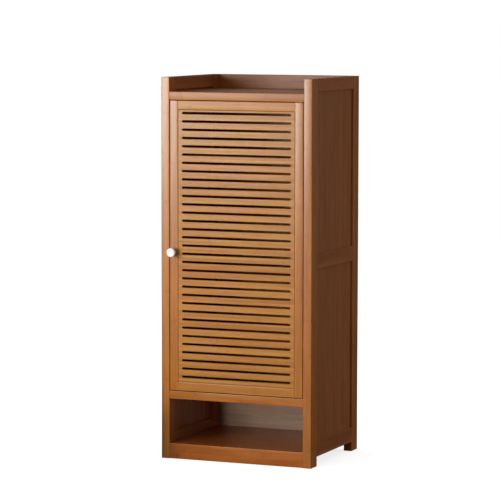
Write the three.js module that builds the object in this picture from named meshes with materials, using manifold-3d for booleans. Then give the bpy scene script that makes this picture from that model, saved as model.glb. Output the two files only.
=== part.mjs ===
// Shoe cabinet in laminated bamboo: frame-and-panel sides and back, an open tray on top, one slotted
// door that turns on hidden pivot pins, four inner shelves, and an open niche for slippers at the bottom.
// Millimetres. X runs from left to right, Y from front to back, Z up. Every piece is worked out in the
// carcass's own coordinates, from its left front corner on the floor, and then set on its own centre.

import * as THREE from 'three';
import { mergeVertices } from 'three/addons/utils/BufferGeometryUtils.js';
import Module from 'manifold-3d';

const wasm = await Module();
wasm.setup();

// ------------------------------------------------------------------------ driving dimensions

const carcass = { width: 500, depth: 400, height: 1185 };
const seam = 0.2; // glue line, or the play of a piece that rests on another
const panelPlay = 1; // room for a panel to swell, at the bottom of each groove
const frontSetback = 1; // boards and door stand back from the posts' front faces
const rounding = { edge: 1.5, end: 0.6, door: 1.5, shelf: 2.5 };

const glide = { radius: 9, height: 2.5, chamfer: 0.8 };
const post = { width: 27, depth: 50 };
const sideRail = { thickness: 20, top: 40, middle: 48, bottom: 47, middleAt: 606, footArch: 30 };
const sidePanel = { thickness: 8, recess: 6 };
const backRail = { thickness: 18, stretcher: 87 };
const backPanel = { thickness: 5, recess: 6.5 };
const frameGroove = { depth: 8, stop: 6 };

const board = { thickness: 25 };
const tray = { wall: 44.5 };
const niche = { floorTop: 49, floorThickness: 19, opening: 139.5 };
const plinth = { thickness: 18, lift: 0.5 };

const shelf = { count: 4, thickness: 12, play: 1, doorGap: 8 };
const bearer = { width: 20, height: 18 };

const door = { thickness: 18, gap: 2, stile: 27, rail: 27.5 };
const doorGroove = { depth: 7, stop: 6 };
const doorPanel = { setback: 1, thickness: 11, tongue: 6, reveal: 2, ringLap: 6 };
const slot = { height: 7, pitch: 25.5, sideMargin: 13.5, topMargin: 7, bottomMargin: 13, chamfer: 0.8 };

const pivot = { radius: 3, fromFront: 7, running: 0.08, inBoard: 14, inBush: 12, chamfer: 0.8 };
const bush = { radius: 4.5, length: 15, chamfer: 0.5 };
const washer = { radius: 7.5 };

const knob = { height: 646, reach: 27, headRadius: 14.5, neckRadius: 6.5, footRadius: 9, footHeight: 2.5 };
const knobFace = { rimRadius: 10.5, dish: 1.2, belly: 6 };
const knobScrew = { radius: 2, headRadius: 4.5, headHeight: 2.6, inKnob: 12, play: 0.3 };

const magnetCatch = { fromPost: 55, width: 28, depth: 15, wall: 3 };
const catchEar = { span: 46, depth: 10, thickness: 3 };
const magnet = { width: 20, height: 6, depth: 12, proud: 0.1 };
const catchScrew = { radius: 1.9, inset: 4.5 };
const strike = { width: 34, height: 10, thickness: 1.2, edgeMargin: 1, holeSpacing: 24 };

const roundSegments = 24;
const profileSteps = 4; // points along each curve of a turned profile
const overcut = 2; // how far a cutting tool runs out past the face it cuts

// ------------------------------------------------------------------------ materials

const finish = (color, roughness, metalness = 0) =>
  new THREE.MeshStandardMaterial({ color, roughness, metalness });

const bamboo = finish(0xb9794a, 0.42);
const bambooPanel = finish(0xb27344, 0.45);
const bambooDark = finish(0x9a6038, 0.5);
const glazedWhite = finish(0xf6f2ea, 0.12);
const steel = finish(0xb8babd, 0.3, 1);
const brass = finish(0xc9a45c, 0.32, 1);
const brownPlastic = finish(0x6a4630, 0.5);
const nylon = finish(0xd8d2c4, 0.6);

// ------------------------------------------------------------------------ solids

/** A closed triangle mesh as a manifold solid, which booleans need. */
function toSolid(geometry) {
  const bare = geometry.clone();
  bare.deleteAttribute('normal');
  bare.deleteAttribute('uv');
  const merged = mergeVertices(bare);
  return new wasm.Manifold(new wasm.Mesh({
    numProp: 3,
    vertProperties: merged.attributes.position.array,
    triVerts: new Uint32Array(merged.index.array),
  }));
}

/** A manifold solid back as a geometry. */
function toGeometry(solid) {
  const { vertProperties, triVerts } = solid.getMesh();
  const geometry = new THREE.BufferGeometry();
  geometry.setAttribute('position', new THREE.BufferAttribute(vertProperties, 3));
  geometry.setIndex(new THREE.BufferAttribute(triVerts, 1));
  return geometry;
}

function cut(geometry, ...tools) {
  return toGeometry(tools.reduce((solid, tool) => solid.subtract(toSolid(tool)), toSolid(geometry)));
}

function join(geometry, ...others) {
  return toGeometry(others.reduce((solid, other) => solid.add(toSolid(other)), toSolid(geometry)));
}

// A span is [low, high] along one axis.
const middle = ([low, high]) => (low + high) / 2;
const length = ([low, high]) => high - low;
const grow = ([low, high], by) => [low - by, high + by];
const about = (centre, size) => [centre - size / 2, centre + size / 2];

/** A plain square-edged block. */
function block(x, y, z) {
  const box = new THREE.BoxGeometry(length(x), length(y), length(z));
  return box.translate(middle(x), middle(y), middle(z));
}

function roundedRectangle([a0, a1], [b0, b1], radius) {
  const shape = new THREE.Shape();
  const quarter = Math.PI / 2;
  shape.absarc(a1 - radius, b1 - radius, radius, 0, quarter);
  shape.absarc(a0 + radius, b1 - radius, radius, quarter, 2 * quarter);
  shape.absarc(a0 + radius, b0 + radius, radius, 2 * quarter, 3 * quarter);
  shape.absarc(a1 - radius, b0 + radius, radius, 3 * quarter, 4 * quarter);
  return shape;
}

/** Extrudes a shape over a span of Z, with its two rims eased by a bevel that stays inside the shape. */
function prism(shape, [low, high], bevel, curveSegments = 1, bevelSegments = 1) {
  const geometry = new THREE.ExtrudeGeometry(shape, {
    depth: high - low - 2 * bevel,
    bevelEnabled: true,
    bevelThickness: bevel,
    bevelSize: bevel,
    bevelOffset: -bevel,
    bevelSegments,
    curveSegments,
  });
  return geometry.translate(0, 0, low + bevel);
}

const X = new THREE.Vector3(1, 0, 0);
const Y = new THREE.Vector3(0, 1, 0);
const Z = new THREE.Vector3(0, 0, 1);

// A section drawn in (a, b) and extruded along c becomes (y, z) along X, or (z, x) along Y.
const turnedToX = new THREE.Matrix4().makeBasis(Y, Z, X);
const turnedToY = new THREE.Matrix4().makeBasis(Z, X, Y);

/** A planed length of wood: rounded along its four long edges and eased at its ends. */
function plank(along, x, y, z, edge = rounding.edge, end = rounding.end) {
  if (along === 'x') {
    return prism(roundedRectangle(y, z, edge), x, end).applyMatrix4(turnedToX);
  }
  if (along === 'y') {
    return prism(roundedRectangle(z, x, edge), y, end).applyMatrix4(turnedToY);
  }
  return prism(roundedRectangle(x, y, edge), z, end);
}

/** A flat plate in the X-Z plane, from a shape drawn in (x, z), over a span of Y. */
function uprightPlate(shape, y, bevel, curveSegments) {
  const plate = prism(shape, [-y[1], -y[0]], bevel, curveSegments);
  return plate.rotateX(Math.PI / 2);
}

/** A round bar along Z. The radius is that of the circle that the facets touch from outside. */
function roundHole(x, y, z, radius) {
  const outer = radius / Math.cos(Math.PI / roundSegments);
  const bar = new THREE.CylinderGeometry(outer, outer, length(z), roundSegments).rotateX(Math.PI / 2);
  return bar.translate(x, y, middle(z));
}

/** A turned piece on a vertical axis, from a profile of [radius, height] points. */
function turned(profile, x, y) {
  const points = profile.map(([radius, at]) => new THREE.Vector2(radius, at));
  return new THREE.LatheGeometry(points, roundSegments).rotateX(Math.PI / 2).translate(x, y, 0);
}

/** Adds a piece, worked out in carcass coordinates, to a group as a mesh on its own centre. */
function addPiece(group, name, geometry, material) {
  const loose = geometry.index ? geometry.toNonIndexed() : geometry;
  loose.computeVertexNormals();
  loose.computeBoundingBox();
  const centre = loose.boundingBox.getCenter(new THREE.Vector3());
  loose.translate(-centre.x, -centre.y, -centre.z);
  const mesh = new THREE.Mesh(loose, material);
  mesh.name = name;
  mesh.position.copy(centre).sub(group.position);
  group.add(mesh);
}

// ------------------------------------------------------------------------ levels and spans

const fullDepth = [0, carcass.depth];
const footAt = glide.height + seam;
const insideX = [post.width, carcass.width - post.width];
const betweenPostsX = grow(insideX, -seam);
const betweenRailsX = [sideRail.thickness + seam, carcass.width - sideRail.thickness - seam];
const betweenPostsY = [post.depth + seam, carcass.depth - post.depth - seam];

const topRailZ = [carcass.height - sideRail.top, carcass.height];
const middleRailZ = [sideRail.middleAt, sideRail.middleAt + sideRail.middle];
const bottomRailZ = [sideRail.footArch, sideRail.footArch + sideRail.bottom];

const topBoardZ = [carcass.height - tray.wall - board.thickness, carcass.height - tray.wall];
const middleBoardBottom = niche.floorTop + niche.opening;
const middleBoardZ = [middleBoardBottom, middleBoardBottom + board.thickness];
const nicheFloorZ = [niche.floorTop - niche.floorThickness, niche.floorTop];
const stretcherZ = [middleBoardZ[0] - backRail.stretcher, middleBoardZ[0] - seam];

const backRailY = [carcass.depth - backRail.thickness, carcass.depth];
const backPanelBack = carcass.depth - backPanel.recess;
const backPanelY = [backPanelBack - backPanel.thickness, backPanelBack];

/** The X span from one depth to another, measured inwards from the outer face of one side. */
function fromSide(side, outer, inner) {
  return side === 'left' ? [outer, inner] : [carcass.width - inner, carcass.width - outer];
}

// ------------------------------------------------------------------------ side frames

/** Posts, rails and panels of one side: every rail has stub tenons in the posts' stopped grooves. */
function buildSide(group, side) {
  const railX = fromSide(side, 0, sideRail.thickness);
  const postX = fromSide(side, 0, post.width);
  const tongueX = fromSide(side, sidePanel.recess, sidePanel.recess + sidePanel.thickness);
  const grooveX = grow(tongueX, seam);
  const grooveY = [post.depth - frameGroove.depth, carcass.depth - post.depth + frameGroove.depth];
  const grooveZ = [bottomRailZ[0] + frameGroove.stop - seam, carcass.height - frameGroove.stop + seam];
  const sideGroove = block(grooveX, grooveY, grooveZ);

  const backGrooveX = fromSide(side, post.width - frameGroove.depth, post.width + overcut);
  const backGrooveZ = [nicheFloorZ[1] - frameGroove.depth, carcass.height - frameGroove.stop + seam];
  const backGroove = block(backGrooveX, grow(backPanelY, seam), backGrooveZ);

  const postZ = [footAt, carcass.height];
  const frontPost = plank('z', postX, [0, post.depth], postZ);
  const backPost = plank('z', postX, [carcass.depth - post.depth, carcass.depth], postZ);
  addPiece(group, `${side}_front_post`, cut(frontPost, sideGroove), bamboo);
  addPiece(group, `${side}_back_post`, cut(backPost, sideGroove, backGroove), bamboo);

  // In a rail with a groove, the tenon starts at the bottom of the groove.
  const tenonY = grow(grooveY, -seam);
  const rails = [
    { name: 'top', z: topRailZ, grooved: [true, false] },
    { name: 'middle', z: middleRailZ, grooved: [true, true] },
    { name: 'bottom', z: bottomRailZ, grooved: [false, true] },
  ];
  for (const { name, z, grooved } of rails) {
    const tenonZ = [
      z[0] + (grooved[0] ? frameGroove.depth : frameGroove.stop),
      z[1] - (grooved[1] ? frameGroove.depth : frameGroove.stop),
    ];
    const rail = join(plank('y', railX, betweenPostsY, z), block(tongueX, tenonY, tenonZ));
    const grooves = [];
    if (grooved[0]) grooves.push(block(grooveX, fullDepth, [z[0] - overcut, tenonZ[0]]));
    if (grooved[1]) grooves.push(block(grooveX, fullDepth, [tenonZ[1], z[1] + overcut]));
    addPiece(group, `${side}_${name}_rail`, cut(rail, ...grooves), bamboo);
  }

  const inGroove = frameGroove.depth - panelPlay;
  const panelY = grow(grooveY, -panelPlay);
  const upperZ = [middleRailZ[1] - inGroove, topRailZ[0] + inGroove];
  const lowerZ = [bottomRailZ[1] - inGroove, middleRailZ[0] + inGroove];
  addPiece(group, `${side}_upper_panel`, block(tongueX, panelY, upperZ), bambooPanel);
  addPiece(group, `${side}_lower_panel`, block(tongueX, panelY, lowerZ), bambooPanel);
}

// ------------------------------------------------------------------------ pivot line of the door

const doorX = grow(insideX, -door.gap);
const doorZ = [middleBoardZ[1] + door.gap, topBoardZ[0] - door.gap];
const doorY = [frontSetback, frontSetback + door.thickness];

// The pins stand in the middle of the solid wood between the stile's outer edge and its groove.
const pivotInset = (door.stile - doorGroove.depth) / 2;
const pivotX = doorX[1] - pivotInset;
const pivotY = doorY[0] + pivot.fromFront;
const swingReach = Math.hypot(pivotInset, doorY[1] - pivotY);

// ------------------------------------------------------------------------ boards

/** A board across the carcass, notched round the four posts so that its ends reach the side rails. */
function notchedBoard(y, z) {
  const [narrow0, narrow1] = betweenPostsX;
  const [wide0, wide1] = betweenRailsX;
  const [notchFront, notchBack] = betweenPostsY;
  const outline = new THREE.Shape();
  outline.moveTo(narrow0, y[0]);
  outline.lineTo(narrow1, y[0]);
  outline.lineTo(narrow1, notchFront);
  outline.lineTo(wide1, notchFront);
  outline.lineTo(wide1, notchBack);
  outline.lineTo(narrow1, notchBack);
  outline.lineTo(narrow1, y[1]);
  outline.lineTo(narrow0, y[1]);
  outline.lineTo(narrow0, notchBack);
  outline.lineTo(wide0, notchBack);
  outline.lineTo(wide0, notchFront);
  outline.lineTo(narrow0, notchFront);
  return prism(outline, z, rounding.edge, 1, 2);
}

/** The groove that holds a back panel's edge, over a span of Z that starts or ends in a board. */
const backPanelGroove = (z) => block(grow(insideX, overcut), grow(backPanelY, seam), z);

function buildBoards(group) {
  const boardY = [frontSetback, carcass.depth];
  const pinRadius = pivot.radius + seam;

  const topHoleZ = [topBoardZ[0] - overcut, topBoardZ[0] + pivot.inBoard + seam];
  const topHole = roundHole(pivotX, pivotY, topHoleZ, pinRadius);
  const topGroove = backPanelGroove([topBoardZ[0] - overcut, topBoardZ[0] + frameGroove.depth]);
  addPiece(group, 'top_board', cut(notchedBoard(boardY, topBoardZ), topHole, topGroove), bamboo);

  const middleTop = middleBoardZ[1];
  const bottomHoleZ = [middleTop - pivot.inBoard - seam, middleTop + overcut];
  const bottomHole = roundHole(pivotX, pivotY, bottomHoleZ, pinRadius);
  const middleGroove = backPanelGroove([middleTop - frameGroove.depth, middleTop + overcut]);
  addPiece(group, 'middle_board', cut(notchedBoard(boardY, middleBoardZ), bottomHole, middleGroove), bamboo);

  const plinthY = [frontSetback, frontSetback + plinth.thickness];
  const plinthZ = [footAt + plinth.lift, niche.floorTop];
  addPiece(group, 'plinth', plank('x', betweenPostsX, plinthY, plinthZ), bamboo);

  const floorY = [plinthY[1] + seam, carcass.depth];
  const floorGroove = backPanelGroove([niche.floorTop - frameGroove.depth, niche.floorTop + overcut]);
  addPiece(group, 'niche_floor', cut(notchedBoard(floorY, nicheFloorZ), floorGroove), bamboo);
}

// ------------------------------------------------------------------------ back

/** A cross rail of the back, with stub tenons in the back posts' grooves. */
function backCrossRail(z, tenonZ, grooveSpans) {
  const tenonX = grow(insideX, frameGroove.depth - seam);
  const rail = join(plank('x', betweenPostsX, backRailY, z), block(tenonX, backPanelY, tenonZ));
  return cut(rail, ...grooveSpans.map(backPanelGroove));
}

function buildBack(group) {
  const deep = frameGroove.depth;
  const stop = frameGroove.stop;
  const trayBackZ = [topBoardZ[1] + seam, carcass.height];
  const trayBack = join(
    plank('x', betweenPostsX, backRailY, trayBackZ),
    block(grow(insideX, deep - seam), backPanelY, [trayBackZ[0] + stop, trayBackZ[1] - stop]),
  );
  addPiece(group, 'tray_back', trayBack, bamboo);

  const [midLow, midHigh] = middleRailZ;
  const midTenonZ = [midLow + deep, midHigh - deep];
  const midGrooves = [[midLow - overcut, midTenonZ[0]], [midTenonZ[1], midHigh + overcut]];
  addPiece(group, 'back_middle_rail', backCrossRail(middleRailZ, midTenonZ, midGrooves), bambooDark);

  const stretcherTenonZ = [stretcherZ[0] + deep, stretcherZ[1] - stop];
  const stretcherGroove = [stretcherZ[0] - overcut, stretcherTenonZ[0]];
  const stretcher = backCrossRail(stretcherZ, stretcherTenonZ, [stretcherGroove]);
  addPiece(group, 'back_stretcher', stretcher, bambooDark);

  const inGroove = deep - panelPlay;
  const panelX = grow(insideX, inGroove);
  const panels = [
    { name: 'back_upper_panel', low: midHigh, high: topBoardZ[0] },
    { name: 'back_lower_panel', low: middleBoardZ[1], high: midLow },
    { name: 'niche_back_panel', low: niche.floorTop, high: stretcherZ[0] },
  ];
  for (const { name, low, high } of panels) {
    addPiece(group, name, block(panelX, backPanelY, grow([low, high], inGroove)), bambooPanel);
  }
}

// ------------------------------------------------------------------------ shelves

/** Loose shelves at equal clear heights, each on two bearers that run from post to post. */
function buildShelves(group) {
  const room = topBoardZ[0] - middleBoardZ[1];
  const clear = (room - shelf.count * shelf.thickness) / (shelf.count + 1);
  const shelfX = grow(insideX, -shelf.play);
  const shelfY = [pivotY + swingReach + shelf.doorGap, backRailY[0] - shelf.play];
  const bearerInner = sideRail.thickness + seam + bearer.width;
  for (let i = 0; i < shelf.count; i += 1) {
    const bottom = middleBoardZ[1] + clear + i * (clear + shelf.thickness);
    const shelfZ = [bottom, bottom + shelf.thickness];
    addPiece(group, `shelf_${i + 1}`, plank('x', shelfX, shelfY, shelfZ, rounding.shelf), bambooPanel);
    const bearerZ = [bottom - seam - bearer.height, bottom - seam];
    for (const side of ['left', 'right']) {
      const bearerX = fromSide(side, sideRail.thickness + seam, bearerInner);
      const batten = plank('y', bearerX, betweenPostsY, bearerZ);
      addPiece(group, `shelf_bearer_${side}_${i + 1}`, batten, bambooDark);
    }
  }
}

// ------------------------------------------------------------------------ glides

/** A nylon disc under each post, with a chamfered rim. */
function buildGlides(group) {
  const { radius, height, chamfer } = glide;
  const profile = [[0, 0], [radius - chamfer, 0], [radius, chamfer], [radius, height], [0, height]];
  const places = [
    ['left_front', post.width / 2, post.depth / 2],
    ['right_front', carcass.width - post.width / 2, post.depth / 2],
    ['left_back', post.width / 2, carcass.depth - post.depth / 2],
    ['right_back', carcass.width - post.width / 2, carcass.depth - post.depth / 2],
  ];
  for (const [place, x, y] of places) {
    addPiece(group, `glide_${place}`, turned(profile, x, y), nylon);
  }
}

// ------------------------------------------------------------------------ pivot hardware

const boreRadius = (pivot.radius + pivot.running) / Math.cos(Math.PI / roundSegments);

/** A steel pin that stands from a board into the door, with both ends chamfered. */
function pivotPin(z) {
  const { radius, chamfer } = pivot;
  const [low, high] = z;
  return turned([
    [0, low],
    [radius - chamfer, low],
    [radius, low + chamfer],
    [radius, high - chamfer],
    [radius - chamfer, high],
    [0, high],
  ], pivotX, pivotY);
}

/** A brass sleeve pressed into the end of the hinge stile, its bore chamfered at both ends. */
function pivotBush([low, high]) {
  const outer = bush.radius;
  const lead = bush.chamfer;
  return turned([
    [boreRadius + lead, low],
    [outer - lead, low],
    [outer, low + lead],
    [outer, high - lead],
    [outer - lead, high],
    [boreRadius + lead, high],
    [boreRadius, high - lead],
    [boreRadius, low + lead],
    [boreRadius + lead, low],
  ], pivotX, pivotY);
}

const bushTopZ = [doorZ[1] - bush.length, doorZ[1]];
const bushBottomZ = [doorZ[0], doorZ[0] + bush.length];

function buildPins(group) {
  const topPinZ = [doorZ[1] - pivot.inBush, topBoardZ[0] + pivot.inBoard];
  const bottomPinZ = [middleBoardZ[1] - pivot.inBoard, doorZ[0] + pivot.inBush];
  addPiece(group, 'top_pivot_pin', pivotPin(topPinZ), steel);
  addPiece(group, 'bottom_pivot_pin', pivotPin(bottomPinZ), steel);

  // The door stands on this ring.
  const washerZ = [middleBoardZ[1] + seam, doorZ[0] - seam];
  const washerBore = (pivot.radius + seam) / Math.cos(Math.PI / roundSegments);
  const ring = turned([
    [washerBore, washerZ[0]],
    [washer.radius, washerZ[0]],
    [washer.radius, washerZ[1]],
    [washerBore, washerZ[1]],
    [washerBore, washerZ[0]],
  ], pivotX, pivotY);
  addPiece(group, 'thrust_washer', ring, nylon);
}

function buildBushes(group) {
  addPiece(group, 'top_pivot_bush', pivotBush(bushTopZ), brass);
  addPiece(group, 'bottom_pivot_bush', pivotBush(bushBottomZ), brass);
}

// ------------------------------------------------------------------------ magnetic catch

const catchX = insideX[0] + magnetCatch.fromPost;
const strikeY = [doorY[1] + seam, doorY[1] + seam + strike.thickness];
const strikeZ = [doorZ[1] - strike.edgeMargin - strike.height, doorZ[1] - strike.edgeMargin];
const catchFront = strikeY[1] + seam;

/** The catch hangs under the top board, just behind the door's top rail. */
function buildCatch(group) {
  const magnetZ = about(middle(strikeZ), magnet.height);
  const bodyY = [catchFront + magnet.proud, catchFront + magnetCatch.depth];
  const bodyZ = [magnetZ[0] - magnetCatch.wall, topBoardZ[0] - seam];
  const body = plank('x', about(catchX, magnetCatch.width), bodyY, bodyZ);

  const earX = about(catchX, catchEar.span);
  const earY = about(middle(bodyY), catchEar.depth);
  const earZ = [bodyZ[1] - catchEar.thickness, bodyZ[1]];
  const earShape = roundedRectangle(earX, earY, catchEar.depth / 2 - seam);
  const ears = prism(earShape, earZ, rounding.end, 3);

  const holes = grow(earX, -catchScrew.inset).map((x) =>
    roundHole(x, middle(earY), grow(earZ, overcut), catchScrew.radius));
  const pocketX = about(catchX, magnet.width + 2 * seam);
  const pocketY = [catchFront - overcut, catchFront + magnet.depth + seam];
  const pocket = block(pocketX, pocketY, grow(magnetZ, seam));
  addPiece(group, 'catch_housing', cut(join(body, ears), pocket, ...holes), brownPlastic);

  const magnetY = [catchFront, catchFront + magnet.depth];
  const magnetBar = plank('x', about(catchX, magnet.width), magnetY, magnetZ, rounding.end);
  addPiece(group, 'catch_magnet', magnetBar, steel);
}

function buildStrike(group) {
  const plateShape = roundedRectangle(about(catchX, strike.width), strikeZ, strike.height / 3);
  for (const x of about(catchX, strike.holeSpacing)) {
    const hole = new THREE.Path();
    hole.absarc(x, middle(strikeZ), catchScrew.radius, 0, 2 * Math.PI, true);
    plateShape.holes.push(hole);
  }
  addPiece(group, 'strike_plate', uprightPlate(plateShape, strikeY, strike.thickness / 4, 4), steel);
}

// ------------------------------------------------------------------------ door

const sightX = grow(doorX, -door.stile);
const sightZ = grow(doorZ, -door.rail);
const panelY = [doorY[0] + doorPanel.setback, doorY[0] + doorPanel.setback + doorPanel.thickness];
const tongueY = [panelY[1] - doorPanel.tongue, panelY[1]];
const tongueGrooveY = grow(tongueY, seam);
const knobX = doorX[0] + door.stile / 2;

/** Stiles with a stopped groove, bored for the pivot bushes or for the knob's screw. */
function buildStiles(group) {
  const grooveX = grow(sightX, doorGroove.depth);
  const grooveZ = grow(doorZ, seam - doorGroove.stop);
  const groove = block(grooveX, tongueGrooveY, grooveZ);
  const hole = bush.radius + seam;

  const hingeX = [sightX[1], doorX[1]];
  const hingeStile = cut(
    plank('z', hingeX, doorY, doorZ, rounding.door),
    groove,
    roundHole(pivotX, pivotY, [bushTopZ[0] - seam, bushTopZ[1] + overcut], hole),
    roundHole(pivotX, pivotY, [bushBottomZ[0] - overcut, bushBottomZ[1] + seam], hole),
  );
  addPiece(group, 'hinge_stile', hingeStile, bamboo);

  const screwHole = roundHole(0, 0, grow(doorY, overcut), knobScrew.radius + knobScrew.play)
    .rotateX(-Math.PI / 2)
    .translate(knobX, 0, knob.height);
  const latchX = [doorX[0], sightX[0]];
  const latchStile = cut(plank('z', latchX, doorY, doorZ, rounding.door), groove, screwHole);
  addPiece(group, 'latch_stile', latchStile, bamboo);
}

/** A door rail, grooved on the panel's side, with stub tenons in the stiles. */
function doorRail(z, panelSide) {
  const inner = z[panelSide];
  const inwards = panelSide === 0 ? 1 : -1;
  const grooveEnd = inner + inwards * doorGroove.depth;
  const outerEnd = z[1 - panelSide] - inwards * doorGroove.stop;
  const tenonZ = [Math.min(grooveEnd, outerEnd), Math.max(grooveEnd, outerEnd)];
  const tenonX = grow(sightX, doorGroove.depth - seam);
  const rail = join(
    plank('x', grow(sightX, -seam), doorY, z, rounding.door),
    block(tenonX, tongueY, tenonZ),
  );
  const grooveStart = inner - inwards * overcut;
  const grooveZ = [Math.min(grooveStart, grooveEnd), Math.max(grooveStart, grooveEnd)];
  return cut(rail, block(grow(tenonX, overcut), tongueGrooveY, grooveZ));
}

/** One routed slot with round ends, as a hole for the panel's outline. */
function slotOutline(x, centreZ) {
  const radius = slot.height / 2;
  const hole = new THREE.Path();
  hole.absarc(x[0] + radius, centreZ, radius, -Math.PI / 2, Math.PI / 2, true);
  hole.absarc(x[1] - radius, centreZ, radius, Math.PI / 2, -Math.PI / 2, true);
  return hole;
}

/** The slotted panel: a field with a row of routed slots, and a thin tongue all round it. */
function slottedPanel() {
  const fieldX = grow(sightX, -doorPanel.reveal);
  const fieldZ = grow(sightZ, -doorPanel.reveal);
  const field = roundedRectangle(fieldX, fieldZ, rounding.edge);

  const slotX = grow(sightX, -slot.sideMargin);
  const lowest = sightZ[0] + slot.bottomMargin + slot.height / 2;
  const highest = sightZ[1] - slot.topMargin - slot.height / 2;
  const gaps = Math.round((highest - lowest) / slot.pitch);
  const pitch = (highest - lowest) / gaps;
  for (let i = 0; i <= gaps; i += 1) {
    field.holes.push(slotOutline(slotX, lowest + i * pitch));
  }

  const ringInnerX = grow(fieldX, -doorPanel.ringLap / 2);
  const ringInnerZ = grow(fieldZ, -doorPanel.ringLap / 2);
  const reach = doorGroove.depth - panelPlay;
  const ring = cut(
    block(grow(sightX, reach), tongueY, grow(sightZ, reach)),
    block(ringInnerX, grow(tongueY, overcut), ringInnerZ),
  );
  return join(uprightPlate(field, panelY, slot.chamfer, 3), ring);
}

// ------------------------------------------------------------------------ knob

/** A glazed knob on a flared foot, with a shallow dish in its face and a blind bore for the screw. */
function turnedKnob() {
  const { reach, headRadius, neckRadius, footRadius, footHeight } = knob;
  const bore = (knobScrew.radius + knobScrew.play) / Math.cos(Math.PI / roundSegments);
  const boreEnd = knobScrew.inKnob + knobScrew.play;
  const bellyAt = reach - knobFace.belly;
  const neckAt = bellyAt - (headRadius - neckRadius);

  const profile = new THREE.Path();
  profile.moveTo(0, boreEnd);
  profile.lineTo(bore, boreEnd);
  profile.lineTo(bore, 0);
  profile.lineTo(footRadius, 0);
  profile.lineTo(footRadius, footHeight / 2);
  profile.quadraticCurveTo(neckRadius, footHeight, neckRadius, neckAt);
  profile.quadraticCurveTo(headRadius, neckAt, headRadius, bellyAt);
  profile.quadraticCurveTo(headRadius, reach, knobFace.rimRadius, reach);
  profile.quadraticCurveTo(knobFace.rimRadius / 2, reach - knobFace.dish, 0, reach - knobFace.dish);

  return new THREE.LatheGeometry(profile.getPoints(profileSteps), roundSegments)
    .rotateX(Math.PI)
    .translate(knobX, doorY[0] - seam, knob.height);
}

/** The screw comes through the stile from behind; its round head rests on the back of the door. */
function turnedKnobScrew() {
  const { radius, headRadius, headHeight, inKnob } = knobScrew;
  const grip = door.thickness + 2 * seam;
  const profile = new THREE.Path();
  profile.moveTo(0, -headHeight);
  profile.quadraticCurveTo(headRadius, -headHeight, headRadius, 0);
  profile.lineTo(radius, 0);
  profile.lineTo(radius, grip + inKnob - radius / 2);
  profile.lineTo(radius / 2, grip + inKnob);
  profile.lineTo(0, grip + inKnob);
  return new THREE.LatheGeometry(profile.getPoints(profileSteps), roundSegments)
    .rotateX(Math.PI)
    .translate(knobX, doorY[1] + seam, knob.height);
}

function buildDoor(group) {
  buildStiles(group);
  addPiece(group, 'door_top_rail', doorRail([sightZ[1], doorZ[1]], 0), bamboo);
  addPiece(group, 'door_bottom_rail', doorRail([doorZ[0], sightZ[0]], 1), bamboo);
  addPiece(group, 'slotted_panel', slottedPanel(), bambooPanel);
  buildBushes(group);
  buildStrike(group);
  addPiece(group, 'knob', turnedKnob(), glazedWhite);
  addPiece(group, 'knob_screw', turnedKnobScrew(), steel);
}

// ------------------------------------------------------------------------ assembly

// The cabinet's origin is the middle of its base, knob included, so the carcass moves left and back.
const knobStandsOut = knob.reach + seam - frontSetback;
const cabinet = new THREE.Group();
cabinet.position.set(-carcass.width / 2, -(carcass.depth - knobStandsOut) / 2, 0);

const body = new THREE.Group();
cabinet.add(body);
buildSide(body, 'left');
buildSide(body, 'right');
buildBoards(body);
buildBack(body);
buildShelves(body);
buildGlides(body);
buildPins(body);
buildCatch(body);

// The door's group stands on the pivot line, so turning the group about Z opens the door.
const doorLeaf = new THREE.Group();
doorLeaf.position.set(pivotX, pivotY, 0);
cabinet.add(doorLeaf);
buildDoor(doorLeaf);

export default cabinet;
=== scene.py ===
"""Looks of a shoe cabinet in laminated bamboo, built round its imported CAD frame. Metres.

X runs from left to right, Y from front to back, Z up. The sections follow the cabinet as it is put together.
"""

import math

import bmesh
import bpy
from mathutils import Euler, Matrix, Vector


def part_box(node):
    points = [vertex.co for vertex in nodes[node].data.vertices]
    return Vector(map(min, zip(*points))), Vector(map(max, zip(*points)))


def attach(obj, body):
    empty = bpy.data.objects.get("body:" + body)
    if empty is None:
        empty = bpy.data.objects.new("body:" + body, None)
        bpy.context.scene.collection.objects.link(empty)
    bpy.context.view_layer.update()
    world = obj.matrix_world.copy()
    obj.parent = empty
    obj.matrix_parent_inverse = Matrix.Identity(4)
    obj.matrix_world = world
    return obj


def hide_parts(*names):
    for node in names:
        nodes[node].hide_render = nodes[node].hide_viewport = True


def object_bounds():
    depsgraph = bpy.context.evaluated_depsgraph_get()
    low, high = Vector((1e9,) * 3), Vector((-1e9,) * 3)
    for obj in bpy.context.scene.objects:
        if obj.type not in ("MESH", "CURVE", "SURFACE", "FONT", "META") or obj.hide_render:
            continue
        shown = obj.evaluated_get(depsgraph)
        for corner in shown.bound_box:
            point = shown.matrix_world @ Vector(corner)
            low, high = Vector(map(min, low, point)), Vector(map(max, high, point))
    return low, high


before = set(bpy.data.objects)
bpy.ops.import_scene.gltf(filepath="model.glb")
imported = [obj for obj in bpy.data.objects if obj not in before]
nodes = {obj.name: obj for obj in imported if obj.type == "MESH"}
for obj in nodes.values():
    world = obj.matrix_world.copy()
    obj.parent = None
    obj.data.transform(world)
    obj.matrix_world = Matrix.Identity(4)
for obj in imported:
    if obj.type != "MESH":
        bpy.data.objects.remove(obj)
cad_low, cad_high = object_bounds()


# -------- camera
# A long lens from the right front, a little above the cabinet's top, so that the front is seen
# nearly square on and the right side shows as a narrow strip.

camera_turn = math.radians(22.923)
camera_dip = math.radians(5.363)
camera_roll = math.radians(0.104)
camera_place = (3.19264, -7.62689, 1.4204)
camera_lens = 191.56
camera_film = 36
camera_sight = 60


def add_object(name, data):
    """Puts a new object into the scene."""
    thing = bpy.data.objects.new(name, data)
    bpy.context.scene.collection.objects.link(thing)
    return thing


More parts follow.
